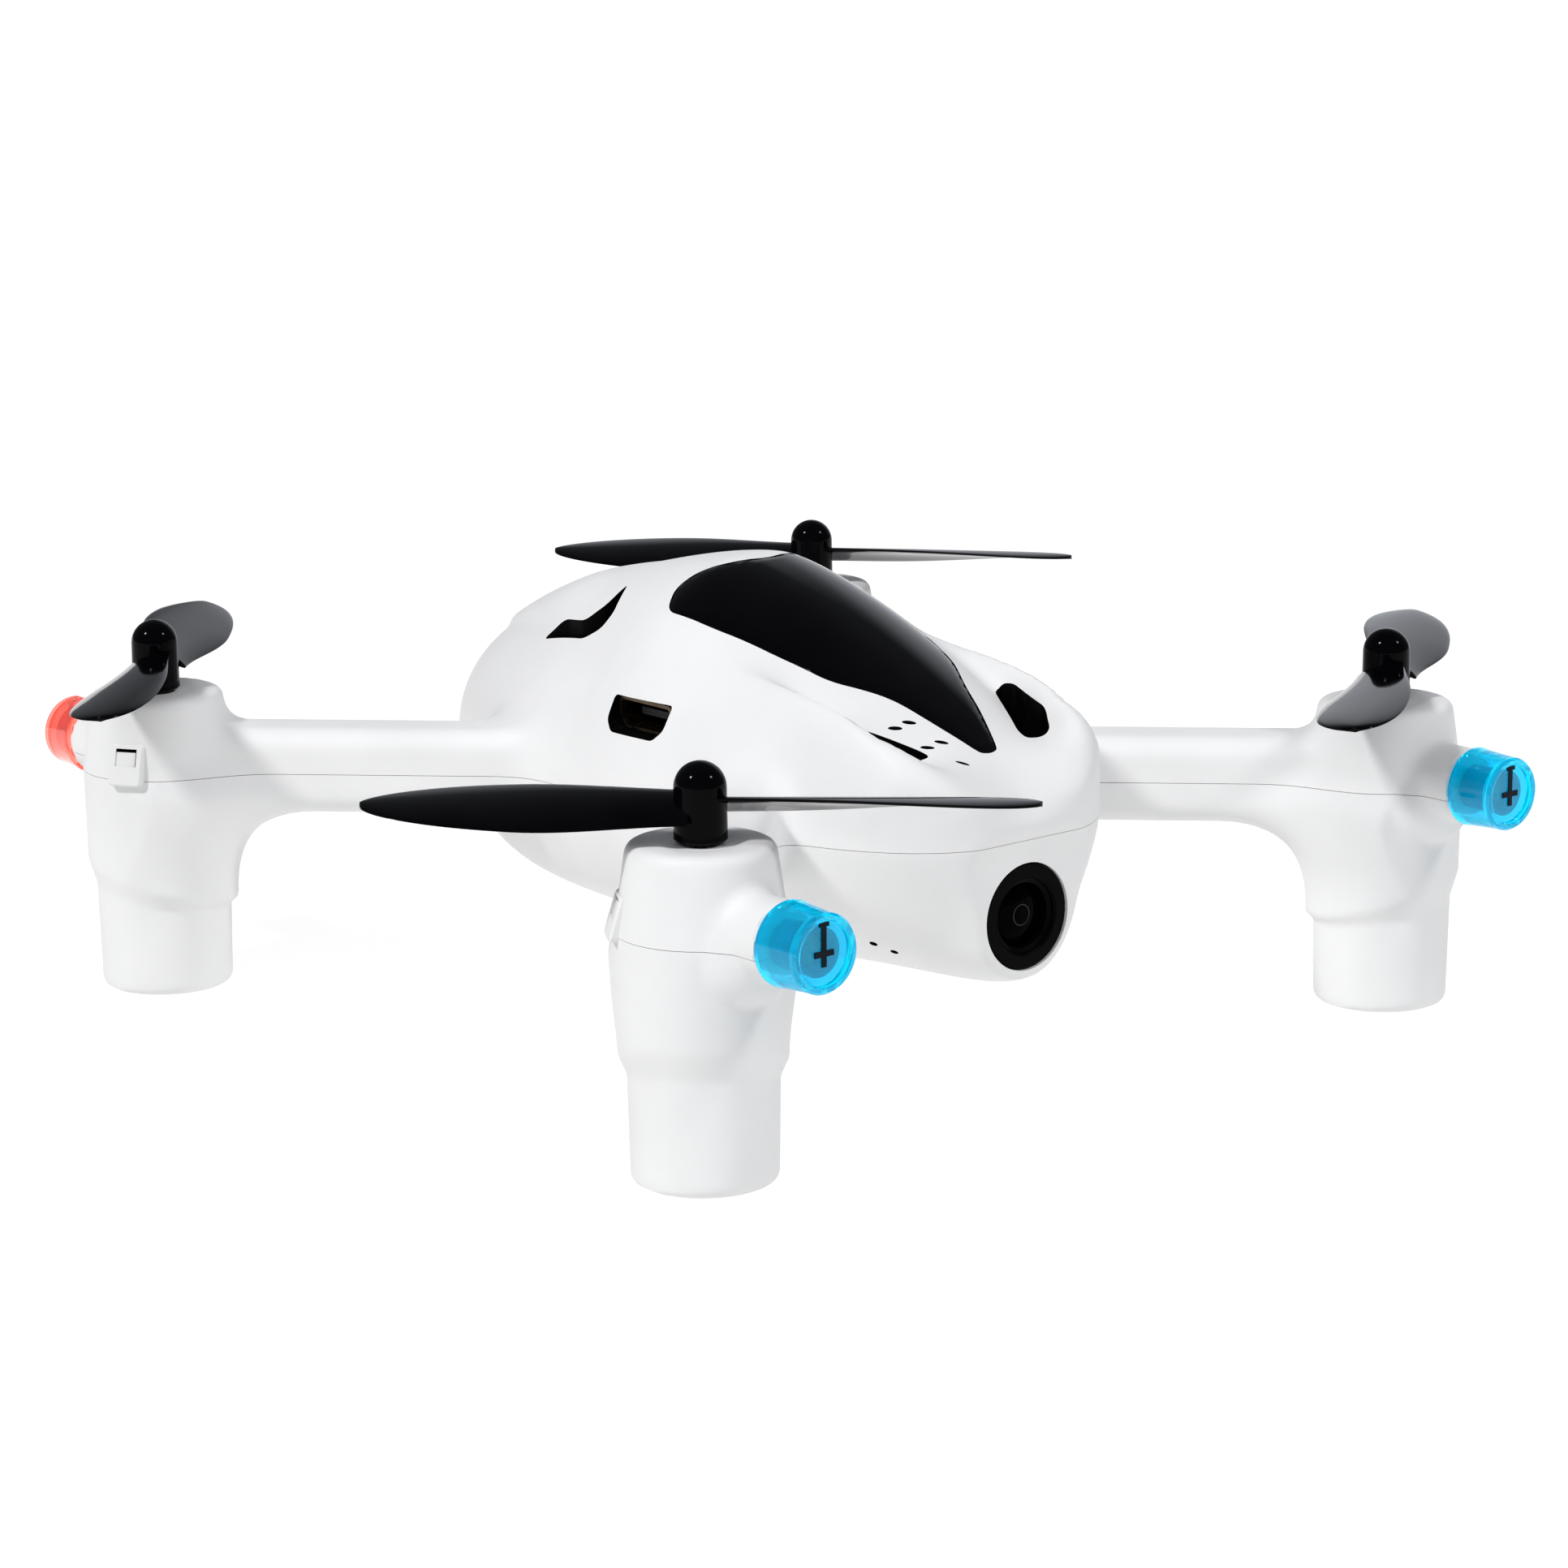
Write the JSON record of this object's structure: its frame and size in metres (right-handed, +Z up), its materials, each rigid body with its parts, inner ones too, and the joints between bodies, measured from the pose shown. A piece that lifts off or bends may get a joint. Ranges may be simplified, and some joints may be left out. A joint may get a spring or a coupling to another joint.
{
  "type": "mini quadcopter drone",
  "caption": "Palm-size white quadcopter with a rounded canopy, dark window, nose camera, motor legs at the arm ends, black propellers and clear coloured lights.",
  "frame": {"origin": "on the ground, below the middle of the four motor axes", "axes": "+Z up, nose along -Y, the drone's right side along -X"},
  "size_m": [0.1268, 0.125, 0.0422],
  "materials": {
    "white_plastic": "moulded white ABS, satin",
    "window_black": "polished gloss black",
    "propeller_black": "moulded gloss black",
    "led_blue": "clear tinted blue, polished",
    "led_red": "clear tinted red, polished",
    "led_resin": "milky cast resin",
    "lens_black": "moulded black, satin",
    "lens_glass": "polished dark glass",
    "circuit_board": "green solder mask",
    "ribbon_film": "amber film",
    "chip_black": "moulded black",
    "tin_can": "tinned sheet",
    "socket_steel": "dark plated sheet",
    "battery_wrap": "shrink sleeve",
    "motor_steel": "drawn and polished",
    "bush_brass": "turned",
    "end_cap_plastic": "moulded white",
    "lead_sleeve": "soft sleeve",
    "screw_steel": "blackened"
  },
  "bodies": {
    "airframe": {"upper_shell": "white_plastic", "lower_shell": "white_plastic", "canopy_window": "window_black", "lens_bezel": "lens_black", "lens_barrel": "lens_black", "lens_glass": "lens_glass", "camera_board": "circuit_board", "camera_ribbon": "ribbon_film", "main_board": "circuit_board", "processor_chip": "chip_black", "radio_module": "tin_can", "usb_socket": "socket_steel", "battery_connector": "chip_black", "motor_can_front_right": "motor_steel", "motor_bush_front_right": "bush_brass", "motor_end_cap_front_right": "end_cap_plastic", "motor_lead_front_right": "lead_sleeve", "led_cap_front_right": "led_blue", "led_emitter_front_right": "led_resin", "board_screw_front_right": "screw_steel", "motor_can_front_left": "motor_steel", "motor_bush_front_left": "bush_brass", "motor_end_cap_front_left": "end_cap_plastic", "motor_lead_front_left": "lead_sleeve", "led_cap_front_left": "led_blue", "led_emitter_front_left": "led_resin", "board_screw_front_left": "screw_steel", "motor_can_rear_right": "motor_steel", "motor_bush_rear_right": "bush_brass", "motor_end_cap_rear_right": "end_cap_plastic", "motor_lead_rear_right": "lead_sleeve", "led_cap_rear_right": "led_red", "led_emitter_rear_right": "led_resin", "board_screw_rear_right": "screw_steel", "motor_can_rear_left": "motor_steel", "motor_bush_rear_left": "bush_brass", "motor_end_cap_rear_left": "end_cap_plastic", "motor_lead_rear_left": "lead_sleeve", "led_cap_rear_left": "led_red", "led_emitter_rear_left": "led_resin", "board_screw_rear_left": "screw_steel"},
    "propeller_front_right": {"propeller_front_right": "propeller_black", "motor_shaft_front_right": "motor_steel"},
    "propeller_front_left": {"propeller_front_left": "propeller_black", "motor_shaft_front_left": "motor_steel"},
    "propeller_rear_right": {"propeller_rear_right": "propeller_black", "motor_shaft_rear_right": "motor_steel"},
    "propeller_rear_left": {"propeller_rear_left": "propeller_black", "motor_shaft_rear_left": "motor_steel"},
    "battery": {"battery_cell": "battery_wrap", "battery_cover": "white_plastic"}
  },
  "joints": [
    {"name": "propeller_spin_front_right", "type": "hinge", "parent": "airframe", "child": "propeller_front_right", "pos_m": [-0.04125, -0.04125, 0.032], "axis": [0, 0, 1], "continuous": true},
    {"name": "propeller_spin_front_left", "type": "hinge", "parent": "airframe", "child": "propeller_front_left", "pos_m": [0.04125, -0.04125, 0.032], "axis": [0, 0, 1], "continuous": true},
    {"name": "propeller_spin_rear_right", "type": "hinge", "parent": "airframe", "child": "propeller_rear_right", "pos_m": [-0.04125, 0.04125, 0.032], "axis": [0, 0, 1], "continuous": true},
    {"name": "propeller_spin_rear_left", "type": "hinge", "parent": "airframe", "child": "propeller_rear_left", "pos_m": [0.04125, 0.04125, 0.032], "axis": [0, 0, 1], "continuous": true},
    {"name": "battery_slide", "type": "slide", "parent": "airframe", "child": "battery", "axis": [0, 1, 0], "range_m": [0, 0.045]}
  ]
}
